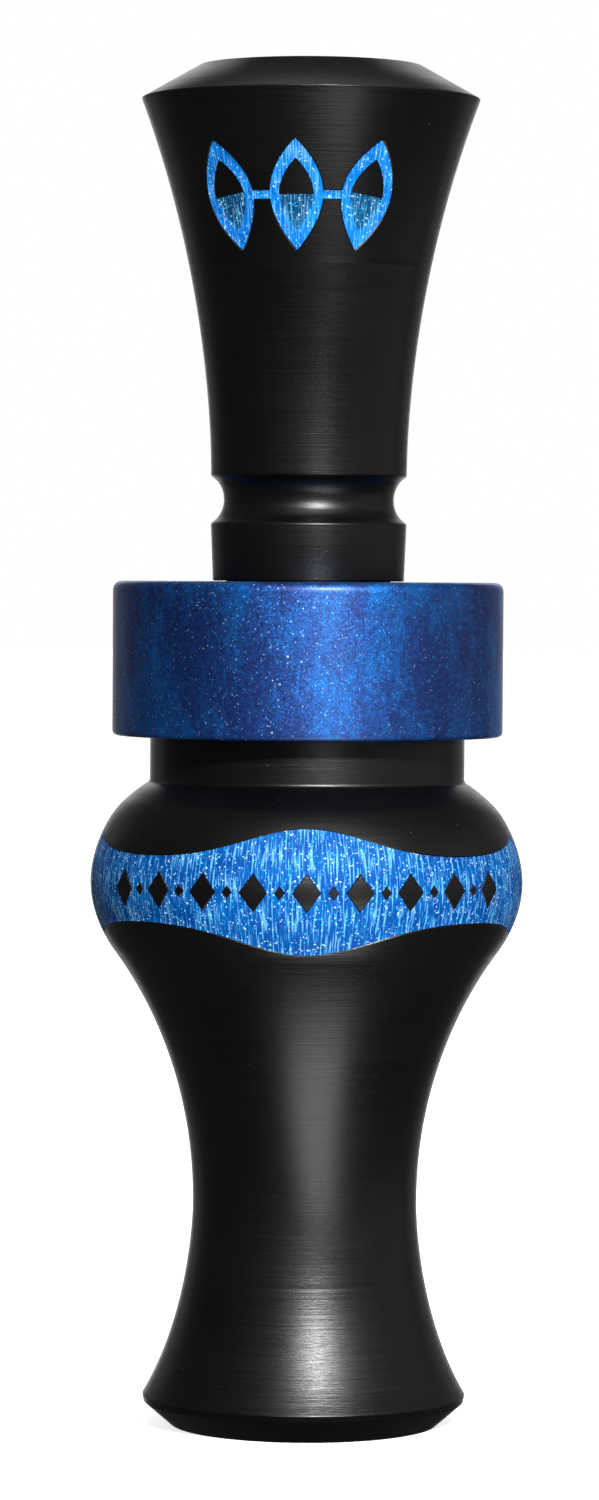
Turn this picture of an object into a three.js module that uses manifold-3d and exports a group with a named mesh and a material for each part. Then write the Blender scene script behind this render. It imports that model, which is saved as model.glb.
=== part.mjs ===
// A duck call: a turned barrel with a pearl band and an engraved bulge, and an insert that plugs into it with
// two O-rings, a half-round tone board, two reeds and the wedge that clamps them.
// Millimetres, +Z up along the call's axis, origin at the centre of the mouthpiece face. -Y is the front.
import * as THREE from "three";
import { mergeVertices } from "three/addons/utils/BufferGeometryUtils.js";
import Module from "manifold-3d";

const wasm = await Module();
wasm.setup();

// Turned parts
const SEGMENTS = 36; // facets round each turned part
const CURVE_STEPS = 6; // straight steps in each stretch of an outline
const SLIVER = 0.002; // cuts leave edges this short, which are merged away

// Barrel
const LIP_FACE_RADIUS = 12.85;
const LIP_RADIUS = 15.65;
const LIP_HEIGHT = 2.5;
const WAIST_RADIUS = 10.8;
const WAIST_HEIGHT = 21.6;
const BULGE_RADIUS = 20.84;
const BULGE_HEIGHT = 52.4;
const NECK_RADIUS = 15.15;
const NECK_FOOT = 62.3;
const BAND_BASE = 66.4;
const BARREL_TOP = 81.3;
const BAND_RADIUS = 18.8;
const BAND_SEAT_RADIUS = 12.5;
const BAND_FOOT_ROUND = 0.6;
const BAND_TOP_ROUND = 1.0;
const BORE_RADIUS = 7.94; // the usual 5/8 in bore
const MOUTH_RADIUS = 6.9;
const MOUTH_TAPER = 5.0;

// Insert
const SHOULDER = 81.35; // rests on the barrel's top
const SHOULDER_RADIUS = 9.2;
const GROOVE_HEIGHT = 89.15;
const GROOVE_HALF_WIDTH = 2.3;
const GROOVE_DEPTH = 1.25;
const LAND_RADIUS = 9.42; // beside the lanyard groove
const BELL_RADIUS = 16.27;
const BELL_HEIGHT = 127.6;
const TOP = 130.75;
const TOP_FACE_RADIUS = 10.7;
const EXHAUST_RADIUS = 8.6;
const AIR_BORE_RADIUS = 4.75;
const AIR_BORE_END = 71.5;
const TENON_RADIUS = 7.85;
const O_RING_HEIGHTS = { o_ring_upper: 77.2, o_ring_lower: 73.4 };
const O_RING_THICKNESS = 1.7;
const O_RING_OUTER_RADIUS = 7.88;
const O_RING_SEAT_RADIUS = 6.1;
const O_RING_SEAT_HALF_WIDTH = 1.05;

// Tone board, reeds and wedge
const FLAT = -0.8; // where the tone board's flat lies along Y
const NOTCH_TOP = 67.5; // at the flat; the notch wall leans over the wedge
const NOTCH_LIP = 65.2; // at the tenon's surface
const REED_TOP = 67.0;
const WEDGE_FOOT = 55.0; // the reeds are free below this, and turn here
const BOARD_TIP = 17.0;
const BOARD_SLOPE = 0.015;
const BOARD_DROP = 0.5; // extra fall of the board's curve at its tip
const CHANNEL_WIDTH = 6.4;
const CHANNEL_END = 22.0;
const CHANNEL_OPEN_SIDE = -2.5; // in front of the flat
const CHANNEL_FLOOR = [[1.4, CHANNEL_END], [2.4, 32], [3.4, 45], [4.3, 62], [4.4, AIR_BORE_END + 1]]; // (y, z)
const REED_WIDTH = 14.2;
const REED_THICKNESS = 0.25;
const REED_GAP = 0.05;
const REED_SPLIT = 0.1; // between a reed's clamped root and its tongue
const REED_TIPS = { lower: 18.2, upper: 19.4 };
const REED_CORNER = 1.6;
const WEDGE_RADIUS = 7.7;
const WEDGE_NOTCH_GAP = 0.3;
const WEDGE_SLANT = [[-9, 59.5], [-6.2, 57]]; // (y, z) along its slanted lower front
const OUTSIDE = -9; // past the tenon's surface, at the front
const THROUGH = 20; // wide enough to cut right across the tenon

// Engraving
const INLAY_TOP_DEPTH = 0.12; // how far the fill lies under the surface
const INLAY_FLOOR_DEPTH = 0.38;
const RECESS_DEPTH = 0.45;
const INLAY_SIDE_GAP = 0.12;
const PANEL_HALF_ANGLE = THREE.MathUtils.degToRad(81);
const PANEL_HEIGHT = 52.4;
const PANEL_WAIST_HALF_HEIGHT = 3.0;
const PANEL_MIDDLE_RISE = 2.9;
const PANEL_MIDDLE_SHARE = 0.3;
const PANEL_END_RISE = 1.9;
const PANEL_COLUMNS = 30;
const PANEL_ROWS = 4;
const LOZENGES = 9;
const LOZENGE_PITCH = THREE.MathUtils.degToRad(14);
const LOZENGE_HALF_WIDTH = 1.35;
const LOZENGE_HALF_HEIGHT = 1.8;
const LEAF_HEIGHT = 117.6;
const LEAF_HALF_LENGTH = 5.1;
const LEAF_HALF_WIDTH = 2.5;
const LEAF_STROKE = 0.9;
const LEAF_LINK = 2.8; // the crossbar between two leaves
const LEAF_ANGLES = [-1, 0, 1].map((side) => side * THREE.MathUtils.degToRad(30));
const LEAF_LEAN = THREE.MathUtils.degToRad(9);
const SPRIG_ANGLE = THREE.MathUtils.degToRad(-6); // the insert is plugged in turned a little from the barrel
const WRAP_STEP = 2.4; // longest edge of a shape before it is wrapped

const black = new THREE.MeshStandardMaterial({ color: 0x141416, roughness: 0.38, metalness: 0 });
const bluePearl = new THREE.MeshStandardMaterial({ color: 0x12349a, roughness: 0.2, metalness: 0.3 });
const blueFill = new THREE.MeshStandardMaterial({ color: 0x2468c8, roughness: 0.35, metalness: 0.6 });
const rubber = new THREE.MeshStandardMaterial({ color: 0x101010, roughness: 0.7, metalness: 0 });
const cork = new THREE.MeshStandardMaterial({ color: 0xb98a5a, roughness: 0.85, metalness: 0 });
const film = new THREE.MeshStandardMaterial({ color: 0xe4e6de, roughness: 0.3, metalness: 0 });

// ---- solids ----

function solid(geometry) {
  const bare = geometry.index ? geometry.toNonIndexed() : geometry.clone();
  bare.deleteAttribute("normal");
  bare.deleteAttribute("uv");
  const merged = mergeVertices(bare, 1e-4);
  return new wasm.Manifold(
    new wasm.Mesh({
      numProp: 3,
      vertProperties: merged.attributes.position.array,
      triVerts: new Uint32Array(merged.index.array),
    }),
  );
}

function namedMesh(name, made, material) {
  const { vertProperties, triVerts } = made.simplify(SLIVER).getMesh();
  const geometry = new THREE.BufferGeometry()
    .setAttribute("position", new THREE.BufferAttribute(vertProperties, 3))
    .setIndex(new THREE.BufferAttribute(triVerts, 1));
  geometry.computeVertexNormals();
  const mesh = new THREE.Mesh(geometry, material);
  mesh.name = name;
  return mesh;
}

// A solid of revolution about Z from a closed outline of (radius, height) points, counterclockwise.
function turned(outline) {
  const points = [...outline, outline[0]];
  return solid(new THREE.LatheGeometry(points, SEGMENTS).rotateX(Math.PI / 2));
}

// A side view drawn in (y, z), extruded along X and centred on it.
function sideProfile(points, width) {
  const shape = new THREE.Shape(points.map(([y, z]) => new THREE.Vector2(y, z)));
  const geometry = new THREE.ExtrudeGeometry(shape, { depth: width, bevelEnabled: false });
  // shape x, y and depth become Y, Z and X
  const turn = new THREE.Matrix4().set(0, 0, 1, -width / 2, 1, 0, 0, 0, 0, 1, 0, 0, 0, 0, 0, 1);
  return solid(geometry.applyMatrix4(turn));
}

// The surface radius of a turned part at a height, from the outer side of its outline.
function radiusAt(outline, height) {
  let widest = 0;
  outline.forEach((a, i) => {
    const b = outline[(i + 1) % outline.length];
    if (a.y === b.y || (height - a.y) * (height - b.y) > 0) return;
    widest = Math.max(widest, a.x + ((b.x - a.x) * (height - a.y)) / (b.y - a.y));
  });
  return widest;
}

// Wraps a flat solid onto a turned surface: x runs round it in mm at the radius `reach`, y is the height, and
// z runs from 0 at depth `under` below the surface to 1 at depth `over`.
function wrapped(flat, outline, reach, under, over) {
  return flat.warp((v) => {
    const radius = radiusAt(outline, v[1]) - THREE.MathUtils.lerp(under, over, v[2]);
    const angle = v[0] / reach;
    [v[0], v[1], v[2]] = [radius * Math.sin(angle), -radius * Math.cos(angle), v[1]];
  });
}

// ---- outlines of the turned parts ----

function barrelOutline() {
  const path = new THREE.Path().moveTo(MOUTH_RADIUS + 0.8, 0).lineTo(LIP_FACE_RADIUS, 0);
  path.lineTo(LIP_RADIUS - 0.2, LIP_HEIGHT - 0.25);
  path.quadraticCurveTo(LIP_RADIUS + 0.1, LIP_HEIGHT + 0.05, LIP_RADIUS - 0.1, LIP_HEIGHT + 0.5);
  path.bezierCurveTo(11.64, 9.55, WAIST_RADIUS, 18.1, WAIST_RADIUS, WAIST_HEIGHT);
  path.bezierCurveTo(WAIST_RADIUS, 33.5, 15.58, 41.76, 18.35, 45.53);
  path.bezierCurveTo(18.82, 46.17, BULGE_RADIUS, 48.9, BULGE_RADIUS, BULGE_HEIGHT);
  path.bezierCurveTo(BULGE_RADIUS, 55.1, 19.5, 58.5, 17.55, 60.25);
  path.bezierCurveTo(16.8, 60.92, 15.5, 61.7, NECK_RADIUS, NECK_FOOT);
  path.lineTo(NECK_RADIUS, BAND_BASE).lineTo(BAND_SEAT_RADIUS, BAND_BASE);
  path.lineTo(BAND_SEAT_RADIUS, BARREL_TOP).lineTo(BORE_RADIUS, BARREL_TOP);
  path.lineTo(BORE_RADIUS, MOUTH_TAPER).lineTo(MOUTH_RADIUS, 1.0);
  path.lineTo(MOUTH_RADIUS + 0.25, 0.25);
  return withoutRepeats(path.getPoints(CURVE_STEPS));
}

function bandOutline() {
  const seat = BAND_SEAT_RADIUS + 0.05;
  const foot = BAND_BASE + 0.05;
  const path = new THREE.Path().moveTo(seat, foot).lineTo(BAND_RADIUS - BAND_FOOT_ROUND, foot);
  path.quadraticCurveTo(BAND_RADIUS, foot, BAND_RADIUS, foot + BAND_FOOT_ROUND);
  path.lineTo(BAND_RADIUS, BARREL_TOP - BAND_TOP_ROUND);
  path.quadraticCurveTo(BAND_RADIUS, BARREL_TOP, BAND_RADIUS - BAND_TOP_ROUND, BARREL_TOP);
  path.lineTo(seat, BARREL_TOP);
  return withoutRepeats(path.getPoints(3));
}

function insertOutline() {
  const plug = new THREE.Path().moveTo(AIR_BORE_RADIUS, AIR_BORE_END).lineTo(TENON_RADIUS, AIR_BORE_END);
  for (const height of Object.values(O_RING_HEIGHTS).sort()) {
    const [low, high] = [height - O_RING_SEAT_HALF_WIDTH, height + O_RING_SEAT_HALF_WIDTH];
    plug.lineTo(TENON_RADIUS, low).lineTo(O_RING_SEAT_RADIUS, low);
    plug.lineTo(O_RING_SEAT_RADIUS, high).lineTo(TENON_RADIUS, high);
  }
  plug.lineTo(TENON_RADIUS, SHOULDER).lineTo(SHOULDER_RADIUS, SHOULDER);
  plug.lineTo(LAND_RADIUS, GROOVE_HEIGHT - GROOVE_HALF_WIDTH);
  const path = new THREE.Path([...plug.getPoints(1), ...lanyardGroove()]);
  path.bezierCurveTo(LAND_RADIUS, 96.3, 10.03, 111.05, BELL_RADIUS, BELL_HEIGHT);
  path.lineTo(TOP_FACE_RADIUS, TOP).lineTo(EXHAUST_RADIUS, TOP);
  path.bezierCurveTo(6.4, 122, AIR_BORE_RADIUS, 112, AIR_BORE_RADIUS, 100);
  return withoutRepeats(path.getPoints(CURVE_STEPS));
}

// The groove's section is an arc through its two edges and its bottom.
function lanyardGroove() {
  const radius = (GROOVE_HALF_WIDTH ** 2 + GROOVE_DEPTH ** 2) / (2 * GROOVE_DEPTH);
  const half = Math.asin(GROOVE_HALF_WIDTH / radius);
  const centre = LAND_RADIUS - GROOVE_DEPTH + radius;
  const arc = new THREE.Path().absarc(centre, GROOVE_HEIGHT, radius, Math.PI + half, Math.PI - half, true);
  return arc.getPoints(4).slice(1);
}

function withoutRepeats(points) {
  return points.filter((p, i) => p.distanceTo(points[(i + 1) % points.length]) > 1e-4);
}

const BARREL = barrelOutline();
const INSERT = insertOutline();

// ---- the engraved panel on the bulge ----

// Half the panel's height at an angle: a broad middle, two waists and flared ends.
function panelHalfHeight(angle) {
  const along = angle / PANEL_HALF_ANGLE;
  const middle = PANEL_MIDDLE_RISE * Math.exp(-((along / PANEL_MIDDLE_SHARE) ** 2));
  const ends = PANEL_END_RISE * along ** 6;
  return PANEL_WAIST_HALF_HEIGHT + middle + ends;
}

function panel(grow, under, over) {
  const grid = new THREE.BoxGeometry(2, 2, 1, PANEL_COLUMNS, PANEL_ROWS, 1).translate(0, 0, 0.5);
  const position = grid.attributes.position;
  for (let i = 0; i < position.count; i++) {
    const [across, up] = [position.getX(i), position.getY(i)];
    const halfHeight = panelHalfHeight(across * PANEL_HALF_ANGLE) + grow;
    const along = across * (PANEL_HALF_ANGLE * BULGE_RADIUS + grow);
    position.setXY(i, along, PANEL_HEIGHT + up * halfHeight);
  }
  return wrapped(solid(grid), BARREL, BULGE_RADIUS, under, over);
}

// The plain lozenges left standing in the panel, as radial prisms.
function lozenges(grow) {
  const [w, h] = [LOZENGE_HALF_WIDTH + grow, LOZENGE_HALF_HEIGHT + grow];
  const corners = [[w, 0], [0, h], [-w, 0], [0, -h]];
  const shape = new THREE.Shape(corners.map(([x, y]) => new THREE.Vector2(x, y)));
  const made = [];
  for (let i = 0; i < LOZENGES; i++) {
    const prism = new THREE.ExtrudeGeometry(shape, { depth: 4, bevelEnabled: false });
    prism.rotateX(Math.PI / 2).translate(0, 2 - BULGE_RADIUS, PANEL_HEIGHT);
    made.push(solid(prism.rotateZ((i - (LOZENGES - 1) / 2) * LOZENGE_PITCH)));
  }
  return made.reduce((all, one) => all.add(one));
}

// ---- the engraved leaves on the insert ----

// A pointed leaf, as points of its outline from tip to tip and back.
function leafPoints(halfWidth, halfLength) {
  const [side, tip] = [halfWidth * 1.33, halfLength * 0.45];
  const path = new THREE.Path().moveTo(0, -halfLength);
  path.bezierCurveTo(side, -tip, side, tip, 0, halfLength);
  path.bezierCurveTo(-side, tip, -side, -tip, 0, -halfLength);
  return withoutRepeats(path.getPoints(CURVE_STEPS));
}

// The part of a leaf's outline below its middle, closed by a straight edge at `top`.
function lowerHalf(outline, top) {
  const below = outline.filter((p) => p.y < top - 0.1);
  const edge = LEAF_HALF_WIDTH - LEAF_STROKE / 2;
  const corners = [new THREE.Vector2(edge, top), new THREE.Vector2(-edge, top)];
  return [...below.filter((p) => p.x >= 0), ...corners, ...below.filter((p) => p.x < 0)];
}

// A shape drawn flat about its own middle, leaned over and wrapped onto the bell at an angle from the middle of
// the sprig.
function engravedShape(shape, angle, lean, under, over) {
  const reach = radiusAt(INSERT, LEAF_HEIGHT);
  const flat = new THREE.ExtrudeGeometry(shape, { depth: 1, bevelEnabled: false });
  flat.rotateZ(-lean).translate((SPRIG_ANGLE + angle) * reach, LEAF_HEIGHT, 0);
  return wrapped(solid(flat).refineToLength(WRAP_STEP), INSERT, reach, under, over);
}

function leaves(grow, under, over) {
  const outer = leafPoints(LEAF_HALF_WIDTH + grow, LEAF_HALF_LENGTH + grow);
  const inner = leafPoints(LEAF_HALF_WIDTH - LEAF_STROKE - grow, LEAF_HALF_LENGTH - 2.2 * LEAF_STROKE - grow);
  const ring = new THREE.Shape(outer);
  ring.holes.push(new THREE.Path(inner));
  const filled = new THREE.Shape(lowerHalf(outer, grow));
  const bar = (halfWidth, halfHeight) =>
    new THREE.Shape([
      new THREE.Vector2(-halfWidth, -halfHeight),
      new THREE.Vector2(halfWidth, -halfHeight),
      new THREE.Vector2(halfWidth, halfHeight),
      new THREE.Vector2(-halfWidth, halfHeight),
    ]);
  const link = bar(LEAF_LINK / 2 + grow, LEAF_STROKE / 2 + grow);
  const made = [];
  LEAF_ANGLES.forEach((angle, i) => {
    const lean = (i - 1) * LEAF_LEAN;
    made.push(engravedShape(ring, angle, lean, under, over));
    made.push(engravedShape(filled, angle, lean, under, over));
  });
  for (const side of [-0.5, 0.5]) {
    made.push(engravedShape(link, side * LEAF_ANGLES[2], 0, under, over));
  }
  return made.reduce((all, one) => all.add(one));
}

// ---- the parts ----

function barrel() {
  const recess = panel(INLAY_SIDE_GAP, RECESS_DEPTH, -1).subtract(lozenges(0));
  return turned(BARREL).subtract(recess);
}

function barrelInlay() {
  return panel(0, INLAY_FLOOR_DEPTH, INLAY_TOP_DEPTH).subtract(lozenges(INLAY_SIDE_GAP));
}

function insertInlay() {
  return leaves(0, INLAY_FLOOR_DEPTH, INLAY_TOP_DEPTH);
}

// The height of the tone board's face along Y, at a height along the call.
function boardFace(height) {
  const below = Math.max(0, WEDGE_FOOT - height);
  return FLAT + BOARD_SLOPE * below + BOARD_DROP * (below / (WEDGE_FOOT - BOARD_TIP)) ** 2;
}

// The slanted wall that ends the tone board's flat, at a distance along Y.
function notchRoof(y) {
  return NOTCH_TOP - ((NOTCH_TOP - NOTCH_LIP) * (FLAT - y)) / (FLAT + TENON_RADIUS);
}

function toneBoard() {
  const round = turned([
    new THREE.Vector2(0.001, BOARD_TIP),
    new THREE.Vector2(TENON_RADIUS - 0.6, BOARD_TIP),
    new THREE.Vector2(TENON_RADIUS, BOARD_TIP + 0.6),
    new THREE.Vector2(TENON_RADIUS, AIR_BORE_END),
    new THREE.Vector2(0.001, AIR_BORE_END),
  ]);
  const below = BOARD_TIP - 2;
  const front = [[OUTSIDE, below], [boardFace(below), below]];
  for (let height = BOARD_TIP; height < WEDGE_FOOT; height += 6) front.push([boardFace(height), height]);
  front.push([FLAT, WEDGE_FOOT], [FLAT, NOTCH_TOP], [OUTSIDE, notchRoof(OUTSIDE)]);
  return round.subtract(sideProfile(front, THROUGH));
}

// The air channel under the reeds: deep where it meets the bore and shallow at the tip.
function channel() {
  const side = [
    [CHANNEL_OPEN_SIDE, CHANNEL_END],
    ...CHANNEL_FLOOR,
    [FLAT, AIR_BORE_END + 1],
    [FLAT, REED_TOP - 0.5],
    [CHANNEL_OPEN_SIDE, REED_TOP - 0.5],
  ];
  return sideProfile(side, CHANNEL_WIDTH);
}

function insert() {
  const body = turned(INSERT).add(toneBoard());
  return body.subtract(channel()).subtract(leaves(INLAY_SIDE_GAP, RECESS_DEPTH, -1));
}

function band() {
  return turned(bandOutline());
}

function oRing(height) {
  const radius = O_RING_THICKNESS / 2;
  const circle = new THREE.Path().absarc(O_RING_OUTER_RADIUS - radius, height, radius, 0, 2 * Math.PI);
  return turned(withoutRepeats(circle.getPoints(4)));
}

// A strip of film between two heights, its back at `face`, with the corners of its tip taken off.
function reedStrip(face, low, high, corner) {
  const half = REED_WIDTH / 2;
  const outline = [[-half, high], [-half, low + corner], [-half + corner, low], [half - corner, low]];
  outline.push([half, low + corner], [half, high]);
  const shape = new THREE.Shape(outline.map(([x, z]) => new THREE.Vector2(x, z)));
  const strip = new THREE.ExtrudeGeometry(shape, { depth: REED_THICKNESS, bevelEnabled: false });
  return solid(strip.rotateX(Math.PI / 2).translate(0, face, 0));
}

function wedge() {
  const back = FLAT - 2 * (REED_THICKNESS + REED_GAP) - REED_GAP;
  const roof = (y) => notchRoof(y) - WEDGE_NOTCH_GAP;
  const side = [[back, WEDGE_FOOT], [back, roof(back)], [OUTSIDE, roof(OUTSIDE)], ...WEDGE_SLANT];
  const round = turned([
    new THREE.Vector2(0.001, WEDGE_FOOT - 1),
    new THREE.Vector2(WEDGE_RADIUS, WEDGE_FOOT - 1),
    new THREE.Vector2(WEDGE_RADIUS, NOTCH_TOP + 1),
    new THREE.Vector2(0.001, NOTCH_TOP + 1),
  ]);
  return round.intersect(sideProfile(side, THROUGH));
}

const call = new THREE.Group();
call.add(namedMesh("barrel", barrel(), black));
call.add(namedMesh("band", band(), bluePearl));
call.add(namedMesh("barrel_inlay", barrelInlay(), blueFill));

const insertGroup = new THREE.Group();
call.add(insertGroup);
insertGroup.add(namedMesh("insert", insert(), black));
insertGroup.add(namedMesh("insert_inlay", insertInlay(), blueFill));
for (const [name, height] of Object.entries(O_RING_HEIGHTS)) {
  insertGroup.add(namedMesh(name, oRing(height), rubber));
}
insertGroup.add(namedMesh("wedge", wedge(), cork));

Object.entries(REED_TIPS).forEach(([which, tip], i) => {
  const face = FLAT - REED_GAP - i * (REED_THICKNESS + REED_GAP);
  const root = reedStrip(face, WEDGE_FOOT, REED_TOP, 0);
  const tongue = reedStrip(face, tip, WEDGE_FOOT - REED_SPLIT, REED_CORNER);
  insertGroup.add(namedMesh(which + "_reed_root", root, film));
  insertGroup.add(namedMesh(which + "_reed_tongue", tongue, film));
});

export default call;
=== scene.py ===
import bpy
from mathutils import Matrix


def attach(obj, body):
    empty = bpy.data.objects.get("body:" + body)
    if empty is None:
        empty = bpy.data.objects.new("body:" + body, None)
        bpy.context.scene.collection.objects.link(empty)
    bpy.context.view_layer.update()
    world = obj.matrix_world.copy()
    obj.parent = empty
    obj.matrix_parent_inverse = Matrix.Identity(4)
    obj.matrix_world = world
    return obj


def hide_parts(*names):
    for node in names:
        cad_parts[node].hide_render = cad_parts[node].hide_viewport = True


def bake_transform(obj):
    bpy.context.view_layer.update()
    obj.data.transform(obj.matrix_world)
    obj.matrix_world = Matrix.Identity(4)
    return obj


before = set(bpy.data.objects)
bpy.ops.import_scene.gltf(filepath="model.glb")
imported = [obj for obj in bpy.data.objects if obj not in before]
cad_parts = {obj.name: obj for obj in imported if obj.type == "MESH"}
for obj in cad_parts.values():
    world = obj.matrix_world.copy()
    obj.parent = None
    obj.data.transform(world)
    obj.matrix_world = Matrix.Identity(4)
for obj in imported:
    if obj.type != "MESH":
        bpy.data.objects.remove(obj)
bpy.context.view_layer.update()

import math

import bmesh
import bpy
import numpy as np
from mathutils import Matrix, Vector

# A duck call, standing on its mouthpiece, in the CAD model's frame. Lengths are in millimetres until a mesh
# is made, and a pair in an outline is (radius, height).
MM = 0.001
TURN_STEPS = 192  # round each turned piece
EDGE = 0.15  # how far every turned edge is broken
SHARP = math.radians(32)  # a sharper turn than this is an edge
ON_AXIS = 0.001  # the radius of a turned outline's points on its axis

# Barrel and band
LIP_FACE_RADIUS = 12.85
LIP_LOWER_EDGE = (15.45, 2.25)
LIP_UPPER_EDGE = (15.57, 2.9)
WAIST_RADIUS = 10.8
WAIST_HEIGHT = 21.6
BULGE_FOOT = (18.35, 45.53)
BULGE_RADIUS = 20.84
BULGE_HEIGHT = 52.4
BULGE_TOP = (17.55, 60.25)
NECK_EDGE = (15.5, 61.85)
NECK_RADIUS = 15.15
NECK_FOOT = 62.4
BAND_BASE = 66.4
BARREL_TOP = 81.3
BAND_RADIUS = 18.8
BAND_SEAT_RADIUS = 12.5
BAND_GAP = 0.04
BAND_FOOT_ROUND = 0.6
BAND_TOP_ROUND = 1.0
BAND_SEAT_ROUND = 0.1
BORE_RADIUS = 7.94
MOUTH_RADIUS = 6.9
MOUTH_TAPER = 5.0
BARREL_SCORE = 14.4  # height of a line that the turning tool left
SCORE_DEPTH = 0.012
SCORE_HALF_WIDTH = 0.09

# Insert
SHOULDER = 81.35
SHOULDER_RADIUS = 9.2
GROOVE_HEIGHT = 89.15
GROOVE_HALF_WIDTH = 2.3
GROOVE_DEPTH = 1.25
GROOVE_EDGE = 0.35
LAND_RADIUS = 9.42
BELL_RADIUS = 16.27
BELL_HEIGHT = 127.6
BELL_SCORE = 111.3
TOP = 130.75
TOP_FACE_RADIUS = 10.7
EXHAUST_RADIUS = 8.6
EXHAUST_END = 100.0  # its taper meets the air bore here
AIR_BORE_RADIUS = 4.75
AIR_BORE_END = 71.5
TENON_RADIUS = 7.85
O_RINGS = {"o_ring_upper": 77.2, "o_ring_lower": 73.4}
O_RING_THICKNESS = 1.7
O_RING_OUTER_RADIUS = 7.88
O_RING_SEAT_RADIUS = 6.1
O_RING_SEAT_HALF_WIDTH = 1.05
MOULD_LINE = 0.03  # how far it stands out of an O-ring
MOULD_LINE_ANGLE = 0.12  # half its width, in radians round the ring's section

# Tone board, reeds and wedge
FLAT = -0.8  # where the tone board's flat lies along Y
NOTCH_TOP = 67.5
NOTCH_LIP = 65.2
REED_TOP = 67.0
WEDGE_FOOT = 55.0  # the reeds are free below this
BOARD_TIP = 17.0
BOARD_SLOPE = 0.015
BOARD_DROP = 0.5  # extra fall of the board's curve at its tip
BOARD_ROUND = 0.5
BOARD_LAP = 0.4  # how far the board runs up into the tenon
CHANNEL_WIDTH = 6.4
CHANNEL_END = 22.0
CHANNEL_CORNER = 1.1
CHANNEL_OPEN_SIDE = -2.5  # in front of the flat
CHANNEL_FLOOR = ((1.4, CHANNEL_END), (2.4, 32), (3.4, 45), (4.3, 62), (4.4, 73))  # (y, z)
REED_HALF_WIDTH = 7.1
REED_THICKNESS = 0.25
REED_GAP = 0.05
REED_CORNER = 1.7
REED_CORNER_WIDTH = 0.8  # as a share of its height
REED_TIPS = {"lower": 18.2, "upper": 19.4}
WEDGE_RADIUS = 7.7
WEDGE_NOTCH_GAP = 0.3
WEDGE_SLANT = [(-9, 59.5), (-6.2, 57)]  # (y, z) along its slanted lower front
OUTSIDE = -9  # past the tenon's surface, at the front
ACROSS = 10  # half the width of a cut right across the tenon

# Engravings
RECESS_DEPTH = 0.4
CHAMFER = 0.1
FILL_DEPTH = 0.08
FILL_GAP = 0.01
FILL_FLOOR_GAP = 0.02
FILL_CLIMB = ((0.06, 0.0), (0.04, 0.05), (0.0, 0.17))  # (how much higher, how far in) by the recess's walls
FILL_SHARP = math.radians(50)
PANEL_HEIGHT = 52.4
PANEL_HALF_ANGLE = math.radians(81)
PANEL_WAIST_HALF_HEIGHT = 3.0
PANEL_MIDDLE_RISE = 2.9
PANEL_MIDDLE_SHARE = 0.3
PANEL_END_RISE = 1.9
LOZENGES = 9
LOZENGE_PITCH = math.radians(14)
LOZENGE = (1.35, 1.8)  # half its width and half its height
SMALL_LOZENGE = (0.5, 0.62)
LOZENGE_POINT = 0.03  # half the width left at a lozenge's points
LEAF_HEIGHT = 117.6
LEAF_HALF_LENGTH = 5.1
LEAF_HALF_WIDTH = 2.5
LEAF_POINT = 0.04  # half the width left at a leaf's points
LEAF_FULLNESS = 1.9
LEAF_STROKE = 0.9
LEAF_POINT_STROKE = 2.0  # how many times thicker the stroke is at a leaf's points
LEAF_LINK = 2.8  # the crossbar between two leaves
LEAF_LINK_HALF_HEIGHT = LEAF_STROKE / 2.4
LEAF_FILL_DEPTH = 0.16
LEAF_FILL_LAP = 0.05  # how far the lower half's fill reaches under the outline's
LEAF_PITCH = math.radians(30)
LEAF_LEAN = math.radians(9)
SPRIG_ANGLE = math.radians(-6)

# Materials
FILL_LINES = 105  # engraving tool lines in a radian
FILL_FLAKES = 7.5  # in a millimetre
PEARL_FLAKES = 8.5
PEARL_OFFSET = (3.0, 0.0, 0.0)  # picks the stretch of the pearl's pattern that the band is turned from
FLAKE_TINTS = ((0.6, 0.85, 1.0), (0.5, 0.42, 0.95), (0.03, 0.6, 1.0))  # white, violet and cyan
FLAKE_PARTS = (1.0, 0.4, 0.9)  # how common each tint is

# Camera, in metres and degrees, but for its lens and sensor in millimetres
LENS = 133.3
SENSOR = 36
CAMERA_PLACE = (-0.00075, -0.535, 0.0815)
CAMERA_DOWN = 1.758
CAMERA_ROLL = 0.35


# ---- meshes ----

def piece(name, vertices, faces):
    """A mesh object from vertices in millimetres."""
    mesh = bpy.data.meshes.new(name)
    mesh.from_pydata((np.asarray(vertices) * MM).tolist(), [], [tuple(map(int, f)) for f in faces])
    mesh.validate()
    made = bpy.data.objects.new(name, mesh)
    bpy.context.scene.collection.objects.link(made)
    return made


def outward(made):
    """The closed mesh with its faces turned to point out of it."""
    mesh = bmesh.new()
    mesh.from_mesh(made.data)
    if mesh.calc_volume(signed=True) < 0:
        bmesh.ops.reverse_faces(mesh, faces=mesh.faces)
    mesh.to_mesh(made.data)
    mesh.free()
    return made


def smooth(made, angle=SHARP):
    made.data.shade_smooth()
    made.data.set_sharp_from_angle(angle=angle)
    return made


def joined(base, other, operation):
    """base with other cut from it or added to it; other is used up."""
    change = base.modifiers.new("", "BOOLEAN")
    change.operation = operation
    change.solver = "MANIFOLD"
    change.object = other
    graph = bpy.context.evaluated_depsgraph_get()
    mesh = bpy.data.meshes.new_from_object(base.evaluated_get(graph))
    base.modifiers.clear()
    mesh.name = base.name
    base.data = mesh
    bpy.data.objects.remove(other)
    return base


def cut(base, other):
    return joined(base, other, "DIFFERENCE")


def add(base, other):
    return joined(base, other, "UNION")


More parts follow.
